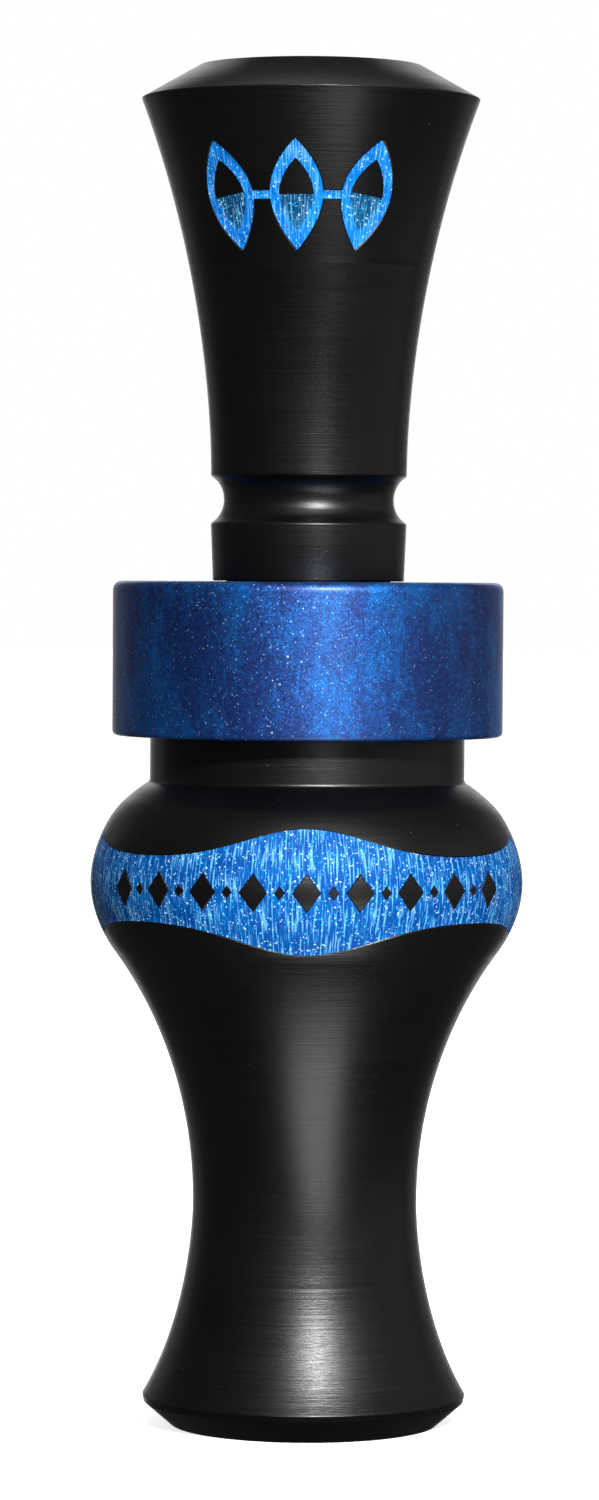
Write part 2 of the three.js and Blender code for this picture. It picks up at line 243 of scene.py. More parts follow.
def turned(name, outline, steps=TURN_STEPS):
    """A solid of revolution about Z from a closed outline of (radius, height), counterclockwise."""
    outline = np.asarray(outline)
    angles = np.linspace(0, 2 * math.pi, steps, endpoint=False)
    radius, height = outline[:, 0][:, None], outline[:, 1][:, None]
    x, y = radius * np.cos(angles), radius * np.sin(angles)
    vertices = np.stack([x, y, np.broadcast_to(height, x.shape)], axis=-1).reshape(-1, 3)
    faces = []
    count = len(outline)
    for i in range(count):
        low, high = i * steps, (i + 1) % count * steps
        for j in range(steps):
            k = (j + 1) % steps
            faces.append((low + j, low + k, high + k, high + j))
    return piece(name, vertices, faces)


def lattice(name, layers):
    """A closed box from a stack of equal grids of points, the first at the bottom."""
    layers = np.asarray(layers, float)
    count, rows, columns = layers.shape[:3]
    index = np.arange(count * rows * columns).reshape(count, rows, columns)
    faces = []

    def sheet(grid, flip):
        for i in range(grid.shape[0] - 1):
            for j in range(grid.shape[1] - 1):
                face = [grid[i, j], grid[i, j + 1], grid[i + 1, j + 1], grid[i + 1, j]]
                faces.append(face[::-1] if flip else face)

    sheet(index[0], True)
    sheet(index[-1], False)
    sheet(index[:, 0, :], False)
    sheet(index[:, -1, :], True)
    sheet(index[:, :, 0], True)
    sheet(index[:, :, -1], False)
    used, faces = np.unique(np.array(faces), return_inverse=True)
    return outward(piece(name, layers.reshape(-1, 3)[used], faces.reshape(-1, 4)))


def bezier(start, first, second, end, steps=24):
    """Points along a cubic curve, without its start."""
    t = np.linspace(0, 1, steps + 1)[1:, None]
    points = [np.array(p, float) for p in (start, first, second, end)]
    weights = ((1 - t) ** 3, 3 * t * (1 - t) ** 2, 3 * t * t * (1 - t), t ** 3)
    return [tuple(p) for p in sum(w * p for w, p in zip(weights, points))]


def eased(outline, radius=EDGE, steps=6):
    """The closed outline with each sharp corner rounded to about this radius, or to its own from a list."""
    points = [np.array(p, float) for p in outline]
    radii = np.broadcast_to(radius, len(points))
    made = []
    for i, corner in enumerate(points):
        before, after = points[i - 1] - corner, points[(i + 1) % len(points)] - corner
        a, b = np.linalg.norm(before), np.linalg.norm(after)
        turn = math.pi - math.acos(np.clip(before @ after / (a * b), -1, 1))
        if turn < SHARP:
            made.append(tuple(corner))
            continue
        reach = min(radii[i] * math.tan(turn / 2), 0.45 * a, 0.45 * b)
        start, end = corner + before / a * reach, corner + after / b * reach
        for t in np.linspace(0, 1, steps + 1):
            made.append(tuple((1 - t) ** 2 * start + 2 * t * (1 - t) * corner + t * t * end))
    return made


# ---- outlines of the turned pieces ----

def barrel_wall():
    """The barrel's outer surface, from the mouthpiece face up to the foot of the band. Plain pairs are the
    handles of its curves."""
    wall = [(MOUTH_RADIUS + 0.8, 0), (LIP_FACE_RADIUS, 0), LIP_LOWER_EDGE, LIP_UPPER_EDGE]
    wall += bezier(wall[-1], (11.64, 9.55), (WAIST_RADIUS, 18.1), (WAIST_RADIUS, WAIST_HEIGHT), steps=40)
    wall += bezier(wall[-1], (WAIST_RADIUS, 33.5), (15.58, 41.76), BULGE_FOOT, steps=40)
    wall += bezier(wall[-1], (18.82, 46.17), (BULGE_RADIUS, 48.9), (BULGE_RADIUS, BULGE_HEIGHT))
    wall += bezier(wall[-1], (BULGE_RADIUS, 55.1), (19.5, 58.5), BULGE_TOP)
    wall += bezier(wall[-1], (16.8, 60.92), (16.1, 61.5), NECK_EDGE, steps=12)
    wall += bezier(wall[-1], (15.3, 61.95), (NECK_RADIUS, 62.1), (NECK_RADIUS, NECK_FOOT), steps=8)
    return wall + [(NECK_RADIUS, BAND_BASE)]


def scored(wall, height):
    """The wall, from its foot up, with one shallow turned line round it."""
    heights, radii = [h for _, h in wall], [r for r, _ in wall]
    line = [(height - SCORE_HALF_WIDTH, 0), (height, SCORE_DEPTH), (height + SCORE_HALF_WIDTH, 0)]
    made = [p for p in wall if abs(p[1] - height) > SCORE_HALF_WIDTH]
    made += [(float(np.interp(h, heights, radii)) - depth, h) for h, depth in line]
    return sorted(made, key=lambda p: p[1])


def barrel_outline():
    seat = [(BAND_SEAT_RADIUS, BAND_BASE), (BAND_SEAT_RADIUS, BARREL_TOP), (BORE_RADIUS, BARREL_TOP)]
    mouth = [(BORE_RADIUS, MOUTH_TAPER), (MOUTH_RADIUS, 1.0), (MOUTH_RADIUS + 0.2, 0.3)]
    wall = barrel_wall()
    lip = wall[:3]
    return eased(lip + scored(wall[3:], BARREL_SCORE) + seat + mouth)


def bell_wall():
    """The insert's outer surface above the lanyard groove."""
    start, end = (LAND_RADIUS, GROOVE_HEIGHT + GROOVE_HALF_WIDTH), (BELL_RADIUS, BELL_HEIGHT)
    return [start] + bezier(start, (LAND_RADIUS, 96.3), (10.03, 111.05), end, steps=60)


def groove_arc():
    """The round bottom of the lanyard groove, from its lower edge up to just under its upper one."""
    radius = (GROOVE_HALF_WIDTH ** 2 + GROOVE_DEPTH ** 2) / (2 * GROOVE_DEPTH)
    half = math.asin(GROOVE_HALF_WIDTH / radius)
    centre = LAND_RADIUS - GROOVE_DEPTH + radius
    turns = np.linspace(-half, half, 25)
    turns = [turns[0], *turns[3:-3]]  # leaves room to round the groove's edges
    return [(centre - radius * math.cos(a), GROOVE_HEIGHT + radius * math.sin(a)) for a in turns]


def insert_outline():
    outline = [(AIR_BORE_RADIUS, AIR_BORE_END), (TENON_RADIUS, AIR_BORE_END)]
    for height in sorted(O_RINGS.values()):
        low, high = height - O_RING_SEAT_HALF_WIDTH, height + O_RING_SEAT_HALF_WIDTH
        outline += [(TENON_RADIUS, low), (O_RING_SEAT_RADIUS, low)]
        outline += [(O_RING_SEAT_RADIUS, high), (TENON_RADIUS, high)]
    outline += [(TENON_RADIUS, SHOULDER), (SHOULDER_RADIUS, SHOULDER)]
    outline += groove_arc() + scored(bell_wall(), BELL_SCORE)
    outline += [(TOP_FACE_RADIUS, TOP), (EXHAUST_RADIUS, TOP)]
    outline += bezier(outline[-1], (6.4, 122), (AIR_BORE_RADIUS, 112), (AIR_BORE_RADIUS, EXHAUST_END))
    near_groove = [abs(height - GROOVE_HEIGHT) < GROOVE_HALF_WIDTH + 0.01 for _, height in outline]
    return eased(outline, np.where(near_groove, GROOVE_EDGE, EDGE))


def wall_point(wall, height, depth):
    """(radius, height) of the points at a depth under a turned wall, measured square to it."""
    radii, heights = np.array(wall)[:, 0], np.array(wall)[:, 1]
    slope = np.gradient(radii, heights)
    lean = np.interp(height, heights, slope)
    length = np.sqrt(1 + lean ** 2)
    radius = np.interp(height, heights, radii)
    return radius - depth / length, height + depth * lean / length


BULGE_WALL = barrel_wall()[4:-1]  # without the lip's corners and the straight neck
BELL_WALL = bell_wall()
SPRIG_REACH = wall_point(BELL_WALL, LEAF_HEIGHT, 0)[0]  # the bell's radius at the sprig


# ---- engraving ----

def strip(name, wall, reach, place, half_length, half_width, levels, steps):
    """A solid strip wrapped onto a turned wall. Drawn flat, it runs along its first axis with a half width
    that varies, and place turns flat points into (distance round the wall at radius reach, height). levels
    are (depth, how much wider) from the deepest up."""
    along, across = np.meshgrid(*(np.linspace(-1, 1, n + 1) for n in steps), indexing="ij")
    layers = []
    for depth, wider in levels:
        run = along * (half_length + wider)
        width = half_width(along * half_length) + wider
        round_wall, height = place(run, across * width)
        radius, height = wall_point(wall, height, depth)
        angle = round_wall / reach
        layers.append(np.stack([radius * np.sin(angle), -radius * np.cos(angle), height], axis=-1))
    return lattice(name, layers)


def recess_levels():
    """A cutter down to the recess's floor, with a chamfer at the surface."""
    return [(RECESS_DEPTH, 0.0), (CHAMFER, 0.0), (-CHAMFER, 2 * CHAMFER)]


def island_levels():
    """What is left standing in a recess, from under its floor, with a chamfer at the surface."""
    return [(RECESS_DEPTH + 0.3, 0.0), (CHAMFER, 0.0), (-2 * CHAMFER, -2.2 * CHAMFER)]


def through_levels(wider=0.0):
    """A cutter right through the engraving, from 1 mm under the surface to 1 mm over it."""
    return [(1.0, wider), (-1.0, wider)]


def fill_levels(depth=FILL_DEPTH):
    """Paint from just above the recess's floor, that climbs a little up its walls."""
    climb = [(depth - higher, -FILL_GAP - inward) for higher, inward in FILL_CLIMB]
    return [(RECESS_DEPTH - FILL_FLOOR_GAP, -FILL_GAP)] + climb


def panel_half_height(run):
    """Half the panel's height: a broad middle, two waists and flared ends."""
    along = run / (PANEL_HALF_ANGLE * BULGE_RADIUS)
    middle = PANEL_MIDDLE_RISE * np.exp(-(along / PANEL_MIDDLE_SHARE) ** 2)
    return PANEL_WAIST_HALF_HEIGHT + middle + PANEL_END_RISE * along ** 6


def panel(name, levels):
    half_length = PANEL_HALF_ANGLE * BULGE_RADIUS

    def place(run, up):
        return run, PANEL_HEIGHT + up

    return strip(name, BULGE_WALL, BULGE_RADIUS, place, half_length, panel_half_height, levels, (240, 48))


def lozenge(angle, half_width, half_height, levels):
    def place(up, run):
        return angle * BULGE_RADIUS + run, PANEL_HEIGHT + up

    def width(up):
        return half_width * (1 - np.abs(up) / half_height) + LOZENGE_POINT

    return strip("lozenge", BULGE_WALL, BULGE_RADIUS, place, half_height, width, levels, (16, 8))


def islands(levels):
    """The row of plain lozenges left standing in the panel, with a small one between each two."""
    made = None
    for i in range(2 * LOZENGES - 1):
        angle = (i / 2 - (LOZENGES - 1) / 2) * LOZENGE_PITCH
        size = LOZENGE if i % 2 == 0 else SMALL_LOZENGE
        one = lozenge(angle, *size, levels)
        made = add(made, one) if made else one
    return made


def leaf(name, index, narrower, levels, top=1.0):
    """One leaf of the sprig, or the part of it below a share of its half length."""
    lean = (index - 1) * LEAF_LEAN
    middle = (SPRIG_ANGLE + (index - 1) * LEAF_PITCH) * SPRIG_REACH
    half_length = LEAF_HALF_LENGTH - LEAF_POINT_STROKE * narrower
    half_width = LEAF_HALF_WIDTH - narrower
    shift = half_length * (top - 1) / 2
    size = half_length + shift

    def place(up, run):
        up = up + shift
        x = run * math.cos(lean) + up * math.sin(lean)
        y = up * math.cos(lean) - run * math.sin(lean)
        return middle + x, LEAF_HEIGHT + y

    def width(up):
        share = np.clip(np.abs(up + shift) / half_length, 0, 1)
        return half_width * (1 - share ** LEAF_FULLNESS) + LEAF_POINT

    return strip(name, BELL_WALL, SPRIG_REACH, place, size, width, levels, (48, 10))


def crossbar(name, side, levels):
    middle = (SPRIG_ANGLE + side * LEAF_PITCH / 2) * SPRIG_REACH

    def place(run, up):
        return middle + run, LEAF_HEIGHT + up

    def width(run):
        return np.full_like(run, LEAF_LINK_HALF_HEIGHT)

    return strip(name, BELL_WALL, SPRIG_REACH, place, LEAF_LINK / 2, width, levels, (10, 4))


def sprig(name, levels, inner_levels):
    """The outlines of the leaves and the bars that join them."""
    made = None
    for index in range(3):
        ring = cut(leaf(name, index, 0, levels), leaf("inner", index, LEAF_STROKE, inner_levels))
        made = add(made, ring) if made else ring
    for side in (-1, 1):
        made = add(made, crossbar("bar", side, levels))
    made.name = name
    return made


# ---- the pieces ----

def make_barrel():
    barrel = turned("barrel_shell", barrel_outline())
    recess = cut(panel("recess", recess_levels()), islands(island_levels()))
    return smooth(cut(barrel, recess))


def make_panel_fill():
    fill = panel("panel_fill", fill_levels())
    return smooth(cut(fill, islands(through_levels(FILL_GAP))), FILL_SHARP)


def make_band():
    seat, foot = BAND_SEAT_RADIUS + BAND_GAP, BAND_BASE + BAND_GAP
    corners = [(seat, foot), (BAND_RADIUS, foot), (BAND_RADIUS, BARREL_TOP), (seat, BARREL_TOP)]
    rounds = [BAND_SEAT_ROUND, BAND_FOOT_ROUND, BAND_TOP_ROUND, BAND_SEAT_ROUND]
    return smooth(turned("pearl_band", eased(corners, rounds, steps=10)))


def notch_roof(y):
    return NOTCH_TOP - (NOTCH_TOP - NOTCH_LIP) * (FLAT - y) / (FLAT + TENON_RADIUS)


def board_face(height):
    below = np.maximum(0, WEDGE_FOOT - height)
    return FLAT + BOARD_SLOPE * below + BOARD_DROP * (below / (WEDGE_FOOT - BOARD_TIP)) ** 2


def side_cut(name, points, half_width):
    """A prism across X from a side view drawn in (y, z)."""
    count = len(points)
    vertices = [(x, y, z) for x in (-half_width, half_width) for y, z in points]
    faces = [tuple(range(count))[::-1], tuple(range(count, 2 * count))]
    for i in range(count):
        j = (i + 1) % count
        faces.append((i, j, count + j, count + i))
    return outward(piece(name, vertices, faces))


def make_tone_board():
    top = AIR_BORE_END + BOARD_LAP
    body = [(ON_AXIS, BOARD_TIP), (TENON_RADIUS, BOARD_TIP), (TENON_RADIUS, top), (ON_AXIS, top)]
    board = turned("tone_board", eased(body, BOARD_ROUND))
    under_tip = BOARD_TIP - 2
    face = [(float(board_face(h)), h) for h in np.linspace(under_tip, WEDGE_FOOT, 40)]
    front = [(OUTSIDE, under_tip)] + face + [(FLAT, NOTCH_TOP), (OUTSIDE, notch_roof(OUTSIDE))]
    return cut(board, side_cut("front", front, ACROSS))


def channel_floor(height):
    floors, heights = zip(*CHANNEL_FLOOR)
    return np.interp(height, heights, floors)


def make_channel():
    """The air channel: a U section that deepens towards the bore."""
    heights = np.linspace(CHANNEL_END, AIR_BORE_END + 1, 50)
    half = CHANNEL_WIDTH / 2
    corner = CHANNEL_CORNER
    layers = []
    for height in heights:
        floor = channel_floor(height)
        top = CHANNEL_OPEN_SIDE if height < REED_TOP - 0.5 else FLAT
        rows = []
        for share in np.linspace(0, 1, 13):
            y = top + (floor - top) * share
            inset = corner - math.sqrt(max(0, corner ** 2 - max(0, y - floor + corner) ** 2))
            rows.append([(x * (half - inset), y, height) for x in np.linspace(-1, 1, 9)])
        layers.append(rows)
    return lattice("channel", layers)


def make_insert():
    insert = add(turned("insert_body", insert_outline()), make_tone_board())
    insert = cut(insert, make_channel())
    insert = cut(insert, sprig("recess", recess_levels(), through_levels()))
    for index in range(3):
        insert = cut(insert, leaf("half", index, LEAF_STROKE / 2, recess_levels(), top=0.0))
    return smooth(insert)


def make_o_ring(name, height):
    """A round ring with the thin moulding line round its outside."""
    radius = O_RING_THICKNESS / 2
    angles = np.linspace(0, 2 * math.pi, 48, endpoint=False)
    from_outside = (angles + math.pi) % (2 * math.pi) - math.pi
    line = MOULD_LINE * np.exp(-(from_outside / MOULD_LINE_ANGLE) ** 2)
    reach = radius - MOULD_LINE + line
    centre = O_RING_OUTER_RADIUS - radius
    section = [(centre + r * math.cos(a), height + r * math.sin(a)) for r, a in zip(reach, angles)]
    return smooth(turned(name + "_seal", section))


def bar_grid(name, x_half, y_range, z_range, steps, bend):
    """A slab with a fine grid, each point moved by bend."""
    x = np.linspace(-x_half, x_half, steps[0] + 1)
    z = np.linspace(*z_range, steps[1] + 1)
    layers = []
    for y in np.linspace(*y_range, steps[2] + 1)[::-1]:
        layers.append([[bend(a, y, c) for a in x] for c in z])
    return lattice(name, layers)


def reed_back(order):
    """Where a reed's face towards the board lies along Y. order counts the reeds from the board, from 0."""
    return FLAT - REED_GAP - order * (REED_THICKNESS + REED_GAP)


def make_reed(which, order):
    """A flat strip of film with its two tip corners rounded."""
    back = reed_back(order)
    tip = REED_TIPS[which]
    faces, ends = (back - REED_THICKNESS, back), (tip, REED_TOP)

    def bend(x, y, z):
        rise = max(0.0, tip + REED_CORNER - z) / REED_CORNER
        narrow = REED_CORNER * (1 - math.sqrt(max(0.0, 1 - rise ** 2))) * REED_CORNER_WIDTH
        return x * (REED_HALF_WIDTH - narrow) / REED_HALF_WIDTH, y, z

    return smooth(bar_grid(which + "_reed", REED_HALF_WIDTH, faces, ends, (24, 120, 1), bend))


def make_wedge():
    back = reed_back(len(REED_TIPS))
    low, high = WEDGE_FOOT - 1, NOTCH_TOP + 1
    corners = [(ON_AXIS, low), (WEDGE_RADIUS, low), (WEDGE_RADIUS, high), (ON_AXIS, high)]
    wedge = turned("cork_wedge", corners)
    roof = [(y, notch_roof(y) - WEDGE_NOTCH_GAP) for y in (back, OUTSIDE)]
    keep = side_cut("side", [(back, WEDGE_FOOT)] + roof + WEDGE_SLANT, ACROSS)
    return smooth(joined(wedge, keep, "INTERSECT"))


# ---- materials ----

class Shader:
    """A node material with one Principled shader, and short calls that add nodes to it. mm is the object's
    own coordinates in millimetres, which place its patterns."""

    def __init__(self, name, settings):
        self.material = bpy.data.materials.new(name)
        self.material.use_nodes = True
        self.tree = self.material.node_tree
        self.shader = self.tree.nodes["Principled BSDF"]
        for socket, value in settings.items():
            self.shader.inputs[socket].default_value = value
        coordinates = self.tree.nodes.new("ShaderNodeTexCoord").outputs["Object"]
        self.mm = self.vector("MULTIPLY", coordinates, (1000, 1000, 1000))

    def node(self, kind, inputs, output=0, **settings):
        made = self.tree.nodes.new("ShaderNode" + kind)
        for key, value in settings.items():
            setattr(made, key, value)
        for key, value in inputs.items():
            self.put(made.inputs[key], value)
        return made.outputs[output]

    def put(self, socket, value):
        if isinstance(value, bpy.types.NodeSocket):
            self.tree.links.new(value, socket)
        else:
            socket.default_value = value

    def vector(self, operation, a, b):
        return self.node("VectorMath", {0: a, 1: b}, operation=operation)

    def math(self, operation, a, b=0.0):
        return self.node("Math", {0: a, 1: b}, operation=operation)

    def stretched(self, x, y, z):
        return self.vector("MULTIPLY", self.mm, (x, y, z))

    def noise(self, where, scale, detail=2.0, roughness=0.5):
        inputs = {"Vector": where, "Scale": scale, "Detail": detail, "Roughness": roughness}
        return self.node("TexNoise", inputs)

    def ramp(self, value, low, high, to_low=0.0, to_high=1.0):
        inputs = {"Value": value, "From Min": low, "From Max": high, "To Min": to_low, "To Max": to_high}
        return self.node("MapRange", inputs, clamp=True)

    def mix(self, share, a, b):
        return self.node("Mix", {0: share, 6: a, 7: b}, 2, data_type="RGBA")

    def cells(self, where, scale, output="Distance", feature="F1"):
        return self.node("TexVoronoi", {"Vector": where, "Scale": scale}, output, feature=feature)

    def bump(self, height, distance, strength=1.0, normal=None):
        inputs = {"Height": height, "Distance": distance * MM, "Strength": strength}
        if normal:
            inputs["Normal"] = normal
        return self.node("Bump", inputs)

    def use(self, sockets):
        for socket, value in sockets.items():
            self.put(self.shader.inputs[socket], value)
        return self.material


def rgb(r, g, b):
    return (r, g, b, 1.0)


def turned_plastic():
    """Satin black with the rings that the lathe tool left, deepest near the lip, and a few smudges and
    specks of dust."""
    s = Shader("turned_black_acetal", {"IOR": 1.48, "Anisotropic": 0.3})
    height = s.node("SeparateXYZ", {0: s.mm}, 2)
    fine = s.noise(s.stretched(0.06, 0.06, 5.0), 1.0, 3.0, 0.7)
    rings = s.noise(s.stretched(0.05, 0.05, 1.6), 1.0, 5.0, 0.85)
    smudge = s.noise(s.mm, 0.11, 3.0)
    speck = s.ramp(s.cells(s.mm, 0.42), 0.045, 0.03)
    speck = s.math("MULTIPLY", speck, s.ramp(s.noise(s.mm, 0.9), 0.5, 0.6))
    colour = s.mix(smudge, rgb(0.0006, 0.0005, 0.0006), rgb(0.0020, 0.0017, 0.0016))
    colour = s.mix(s.math("MULTIPLY", speck, 0.3), colour, rgb(0.16, 0.15, 0.15))
    wear = s.math("ADD", s.math("MULTIPLY", fine, 0.6), s.math("MULTIPLY", smudge, 0.4))
    depth = s.ramp(height, 17, 8, 0.5, 1.0)
    marks = s.math("ADD", s.math("MULTIPLY", fine, 0.25), s.math("MULTIPLY", rings, depth))
    tangent = s.node("Tangent", {}, direction_type="RADIAL", axis="Z")
    s.use({"Base Color": colour, "Roughness": s.ramp(wear, 0.3, 0.7, 0.28, 0.38), "Tangent": tangent})
    return s.use({"Normal": s.bump(marks, 0.04)})


def flaked_normal(s, flake, amount):
    """The surface normal, tilted its own way in each flake."""
    tilt = s.vector("MULTIPLY", s.vector("SUBTRACT", flake, (0.5, 0.5, 0.5)), (amount, amount, amount))
    return s.vector("NORMALIZE", s.vector("ADD", s.node("NewGeometry", {}, "Normal"), tilt), (0, 0, 0))


def glitter(s, colour, flake, share, strength):
    """The colour with a share of the flakes picked out in each tint."""
    for output, (tint, part) in enumerate(zip(FLAKE_TINTS, FLAKE_PARTS)):
        picked = s.node("SeparateColor", {"Color": flake}, output)
        edge = 1 - share * part
        colour = s.mix(s.ramp(picked, edge, edge + 0.02, 0.0, strength), colour, rgb(*tint))
    return colour


def pearl_acrylic():
    """Deep blue acrylic with drifts of fine pearl flake that stretch along the rod it was turned from."""
    settings = {"Coat Weight": 0.6, "Coat Roughness": 0.36, "IOR": 1.49, "Metallic": 0.88}
    s = Shader("blue_pearl_acrylic", settings)
    where = s.vector("ADD", s.mm, PEARL_OFFSET)
    drift = s.noise(s.vector("MULTIPLY", where, (1, 1, 0.5)), 0.16, 2.0, 0.5)
    streak = s.noise(s.vector("MULTIPLY", where, (1, 1, 0.3)), 0.8, 4.0, 0.65)
    grain = s.noise(s.mm, 2.2, 3.0, 0.7)
    flake = s.cells(s.mm, PEARL_FLAKES, "Color")
    mask = s.math("ADD", s.math("MULTIPLY", drift, 0.68), s.math("MULTIPLY", streak, 0.32))
    mask = s.math("ADD", s.ramp(mask, 0.43, 0.63, 0.0, 0.75), s.ramp(grain, 0.35, 0.65, -0.2, 0.2))
    picked = s.node("SeparateColor", {"Color": flake}, 1)
    share = s.math("ADD", mask, s.math("MULTIPLY", s.math("SUBTRACT", picked, 0.5), 0.45))
    colour = s.mix(s.ramp(share, 0.0, 1.0), rgb(0.006, 0.028, 0.165), rgb(0.0, 0.15, 0.53))
    colour = glitter(s, colour, flake, 0.018, 0.42)
    rough = s.ramp(grain, 0.3, 0.7, 0.5, 0.6)
    return s.use({"Base Color": colour, "Roughness": rough, "Normal": flaked_normal(s, flake, 0.3)})


def metallic_fill(name, dark, light):
    """Paint full of metal flakes, over the fine upright lines that the engraving tool left."""
    s = Shader(name, {"IOR": 1.2, "Metallic": 0.15})
    x, y, height = (s.node("SeparateXYZ", {0: s.mm}, axis) for axis in range(3))
    turn = s.math("MULTIPLY", s.math("ARCTAN2", x, s.math("MULTIPLY", y, -1)), FILL_LINES)
    lines = s.noise(s.node("CombineXYZ", {0: turn, 1: s.math("MULTIPLY", height, 0.35)}), 1.0, 2.0, 0.6)
    cloud = s.noise(s.mm, 0.35, 3.0)
    flake = s.cells(s.mm, FILL_FLAKES, "Color")
    share = s.math("ADD", s.ramp(lines, 0.4, 0.62), s.ramp(cloud, 0.35, 0.7, -0.35, 0.15))
    colour = s.mix(share, dark, light)
    colour = s.mix(s.ramp(lines, 0.55, 0.63, 0.0, 0.85), colour, rgb(0.15, 0.43, 0.74))
    colour = glitter(s, colour, flake, 0.04, 0.7)
    normal = s.bump(lines, 0.1, 1.0, flaked_normal(s, flake, 0.2))
    rough = s.ramp(cloud, 0.3, 0.7, 0.46, 0.58)
    return s.use({"Base Color": colour, "Roughness": rough, "Normal": normal})


def rubber():
    s = Shader("nitrile_rubber", {"IOR": 1.5})
    grain = s.noise(s.mm, 6.0, 3.0)
    bloom = s.noise(s.mm, 0.5, 2.0)
    colour = s.mix(bloom, rgb(0.012, 0.012, 0.012), rgb(0.03, 0.03, 0.031))
    rough = s.ramp(grain, 0.3, 0.7, 0.5, 0.72)
    return s.use({"Base Color": colour, "Roughness": rough, "Normal": s.bump(grain, 0.01)})


def cork():
    s = Shader("composition_cork", {"IOR": 1.4})
    grain = s.cells(s.mm, 1.5, "Color")
    edge = s.cells(s.mm, 1.5, "Distance", "DISTANCE_TO_EDGE")
    speckle = s.noise(s.mm, 3.5, 4.0, 0.7)
    tone = s.node("SeparateColor", {"Color": grain})
    colour = s.mix(tone, rgb(0.36, 0.2, 0.09), rgb(0.62, 0.42, 0.24))
    colour = s.mix(s.ramp(speckle, 0.56, 0.68), colour, rgb(0.16, 0.08, 0.035))
    colour = s.mix(s.ramp(edge, 0.06, 0.0, 0.0, 0.65), colour, rgb(0.1, 0.05, 0.02))
    height = s.math("ADD", s.ramp(edge, 0.0, 0.12), s.math("MULTIPLY", speckle, 0.5))
    return s.use({"Base Color": colour, "Roughness": 0.85, "Normal": s.bump(height, 0.12)})


def reed_film():
    s = Shader("polyester_film", {"IOR": 1.6, "Transmission Weight": 0.35})
    sanding = s.noise(s.stretched(9, 9, 0.25), 1.0, 3.0, 0.7)
    haze = s.noise(s.mm, 0.25, 2.0)
    colour = s.mix(haze, rgb(0.34, 0.38, 0.37), rgb(0.5, 0.54, 0.51))
    rough = s.ramp(sanding, 0.3, 0.7, 0.2, 0.45)
    return s.use({"Base Color": colour, "Roughness": rough, "Normal": s.bump(sanding, 0.004)})


# ---- putting it together ----

def fit(made, body, slot, material, *nodes):
    """The finished piece in its material, riding on its body in place of its CAD nodes."""
    made.data.materials.clear()
    made.data.materials.append(material)
    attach(made, body)
    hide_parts(*nodes)
    return made


def make_call():
    black = turned_plastic()
    bright_fill = metallic_fill("blue_metallic_fill", rgb(0.0, 0.06, 0.28), rgb(0.0, 0.145, 0.46))
    sky_fill = metallic_fill("sky_metallic_fill", rgb(0.001, 0.14, 0.55), rgb(0.006, 0.3, 0.95))
    dark_fill = metallic_fill("teal_metallic_fill", rgb(0.002, 0.045, 0.13), rgb(0.006, 0.15, 0.33))
    fit(make_barrel(), "barrel", "black_acetal", black, "barrel")
    fit(make_band(), "barrel", "blue_pearl_acrylic", pearl_acrylic(), "band")
    fit(make_panel_fill(), "barrel", "blue_metallic_fill", bright_fill, "barrel_inlay")
    fit(make_insert(), "insert", "black_acetal", black, "insert")
    outlines = smooth(sprig("sprig_outline", fill_levels(), through_levels(FILL_GAP)), FILL_SHARP)
    fit(outlines, "insert", "blue_metallic_fill", sky_fill, "insert_inlay")
    lower = fill_levels(LEAF_FILL_DEPTH)
    for index in range(3):
        half = leaf(f"leaf_fill_{index + 1}", index, LEAF_STROKE - LEAF_FILL_LAP, lower, top=0.0)
        fit(smooth(half), "insert", "blue_metallic_fill", dark_fill)
    seal = rubber()
    for name, height in O_RINGS.items():
        fit(make_o_ring(name, height), "o_rings", "o_ring_rubber", seal, name)
    fit(make_wedge(), "wedge", "wedge_cork", cork(), "wedge")
    film = reed_film()
    for order, which in enumerate(REED_TIPS):
        reed = make_reed(which, order)
        reed.data.materials.append(film)
        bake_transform(reed)
        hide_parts(which + "_reed_root", which + "_reed_tongue")


# ---- stage ----

def area_light(name, azimuth, elevation, distance, size, power, target, colour=(1, 1, 1)):
    """A soft box aimed at a point, in metres, degrees and watts. Azimuth is from the front towards +X."""
    data = bpy.data.lights.new(name, "AREA")
    data.shape = "RECTANGLE"
    data.size, data.size_y = size
    data.energy = power
    data.color = colour
    lamp = bpy.data.objects.new(name, data)
    bpy.context.scene.collection.objects.link(lamp)
    a, e = math.radians(azimuth), math.radians(elevation)
    back = Vector((math.sin(a) * math.cos(e), -math.cos(a) * math.cos(e), math.sin(e)))
    lamp.location = Vector(target) + back * distance
    lamp.rotation_mode = "QUATERNION"
    lamp.rotation_quaternion = back.to_track_quat("Z", "Y")
    lamp.visible_camera = False
    return lamp


def make_floor():
    """A pale floor that runs on without an edge. It glows more, and so takes less shadow, further out."""
    half_size = 6.0
    mesh = bpy.data.meshes.new("floor")
    corners = [(x * half_size, y * half_size, 0) for x, y in ((-1, -1), (1, -1), (1, 1), (-1, 1))]
    mesh.from_pydata(corners, [], [(0, 1, 2, 3)])
    floor = bpy.data.objects.new("floor", mesh)
    bpy.context.scene.collection.objects.link(floor)
    s = Shader("pale_floor", {"Roughness": 0.9, "Emission Color": rgb(1, 1, 1)})
    distance = s.node("VectorMath", {0: s.mm}, "Value", operation="LENGTH")
    grain = s.noise(s.mm, 0.02, 3.0)
    s.use({"Base Color": s.mix(grain, rgb(0.78, 0.78, 0.78), rgb(0.82, 0.82, 0.82))})
    s.use({"Emission Strength": s.ramp(distance, 60, 500, 0.78, 1.0)})
    mesh.materials.append(s.material)
    floor.visible_glossy = False
    floor.visible_diffuse = False


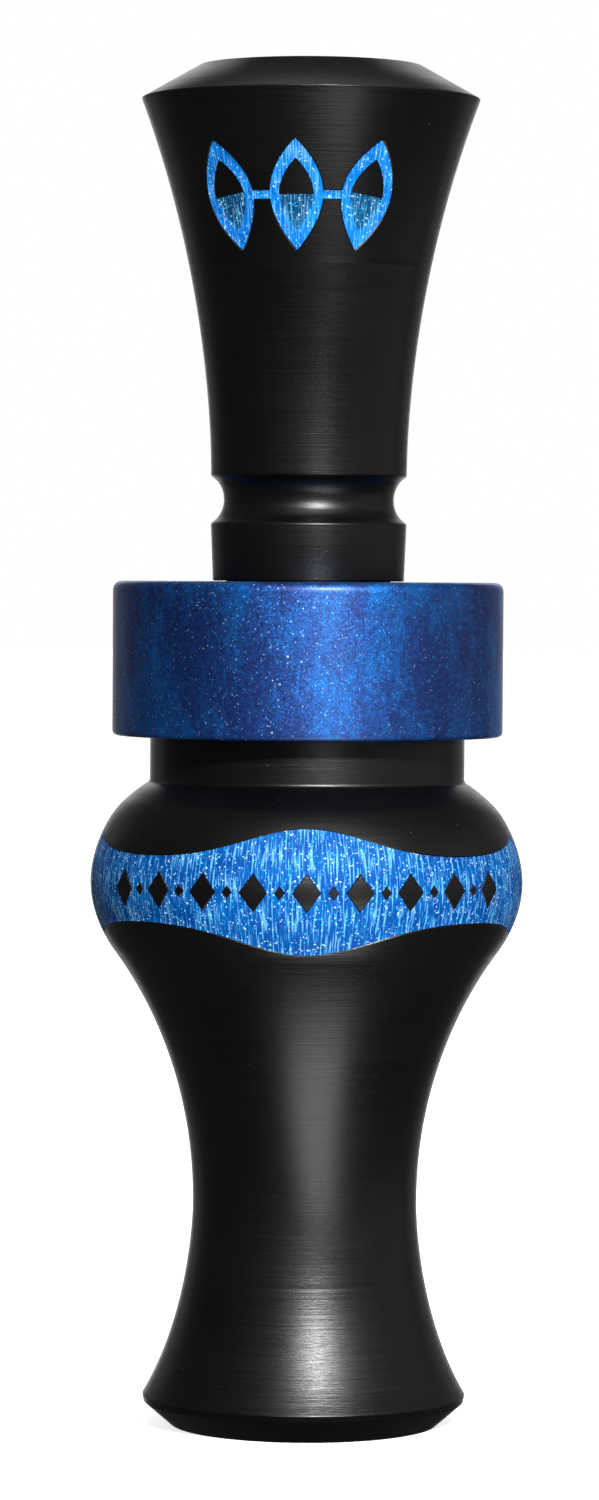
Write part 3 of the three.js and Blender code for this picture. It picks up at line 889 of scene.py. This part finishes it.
def make_world():
    """White to the camera. To the call it is a dim room, darker below and dimmer still in reflections."""
    world = bpy.data.worlds.new("studio")
    bpy.context.scene.world = world
    world.use_nodes = True
    tree = world.node_tree

    def added(kind, **inputs):
        made = tree.nodes.new("ShaderNode" + kind)
        for key, value in inputs.items():
            made.inputs[key].default_value = value
        return made

    def blended(share, low, high):
        mix = added("MixShader")
        for socket, output in zip(mix.inputs, (share, low.outputs[0], high.outputs[0])):
            tree.links.new(output, socket)
        return mix

    grey = rgb(0.95, 0.97, 1.0)
    white = added("Background", Color=rgb(1, 1, 1), Strength=1.0)
    above = added("Background", Color=grey, Strength=0.32)
    below = added("Background", Color=grey, Strength=0.1)
    dim = added("Background", Color=grey, Strength=0.055)
    height = added("SeparateXYZ")
    tree.links.new(added("TexCoord").outputs["Generated"], height.inputs[0])
    level = added("MapRange", **{"From Min": -0.1, "From Max": 0.1})
    tree.links.new(height.outputs["Z"], level.inputs["Value"])
    path = added("LightPath")
    room = blended(level.outputs[0], below, above)
    room = blended(path.outputs["Is Glossy Ray"], room, dim)
    room = blended(path.outputs["Is Camera Ray"], room, white)
    tree.links.new(room.outputs[0], tree.nodes["World Output"].inputs["Surface"])


def make_lights():
    middle = (0, 0, 0.065)
    area_light("key_softbox", 12, 28, 1.1, (0.11, 0.1), 19.5, middle)
    area_light("key_top", 8, 58, 1.1, (0.6, 0.2), 0.85, middle)
    area_light("front_strip", 13, 5, 1.2, (0.15, 0.5), 0.75, middle)
    area_light("back_card", 180, 5, 1.3, (0.85, 1.1), 4.5, middle)
    area_light("back_glow", 180, 5, 1.3, (2.6, 1.1), 1.6, middle)
    area_light("top_card", 180, 72, 1.0, (0.9, 0.5), 1.2, middle)
    area_light("side_fill", 82, 10, 1.2, (1.7, 1.0), 1.3, middle, (1.0, 0.93, 0.86))
    # two cards just above the floor, facing up, that make the highlight between the waist and the bulge
    area_light("floor_near", 12, -88, 0.0, (0.038, 0.116), 0.063, (0.0175, -0.0965, 0.004))
    area_light("floor_far", 27, -88, 0.0, (0.05, 0.12), 0.062, (0.077, -0.151, 0.004))


def make_camera():
    data = bpy.data.cameras.new("camera")
    data.lens = LENS
    data.sensor_width = SENSOR
    data.clip_start, data.clip_end = 0.01, 50
    camera = bpy.data.objects.new("camera", data)
    bpy.context.scene.collection.objects.link(camera)
    tilt, roll = math.radians(90 - CAMERA_DOWN), math.radians(CAMERA_ROLL)
    turn = Matrix.Rotation(tilt, 4, "X") @ Matrix.Rotation(roll, 4, "Z")
    camera.matrix_world = Matrix.Translation(CAMERA_PLACE) @ turn
    bpy.context.scene.camera = camera


make_call()
make_floor()
make_world()
make_lights()
make_camera()
bpy.context.scene.view_settings.view_transform = "Standard"
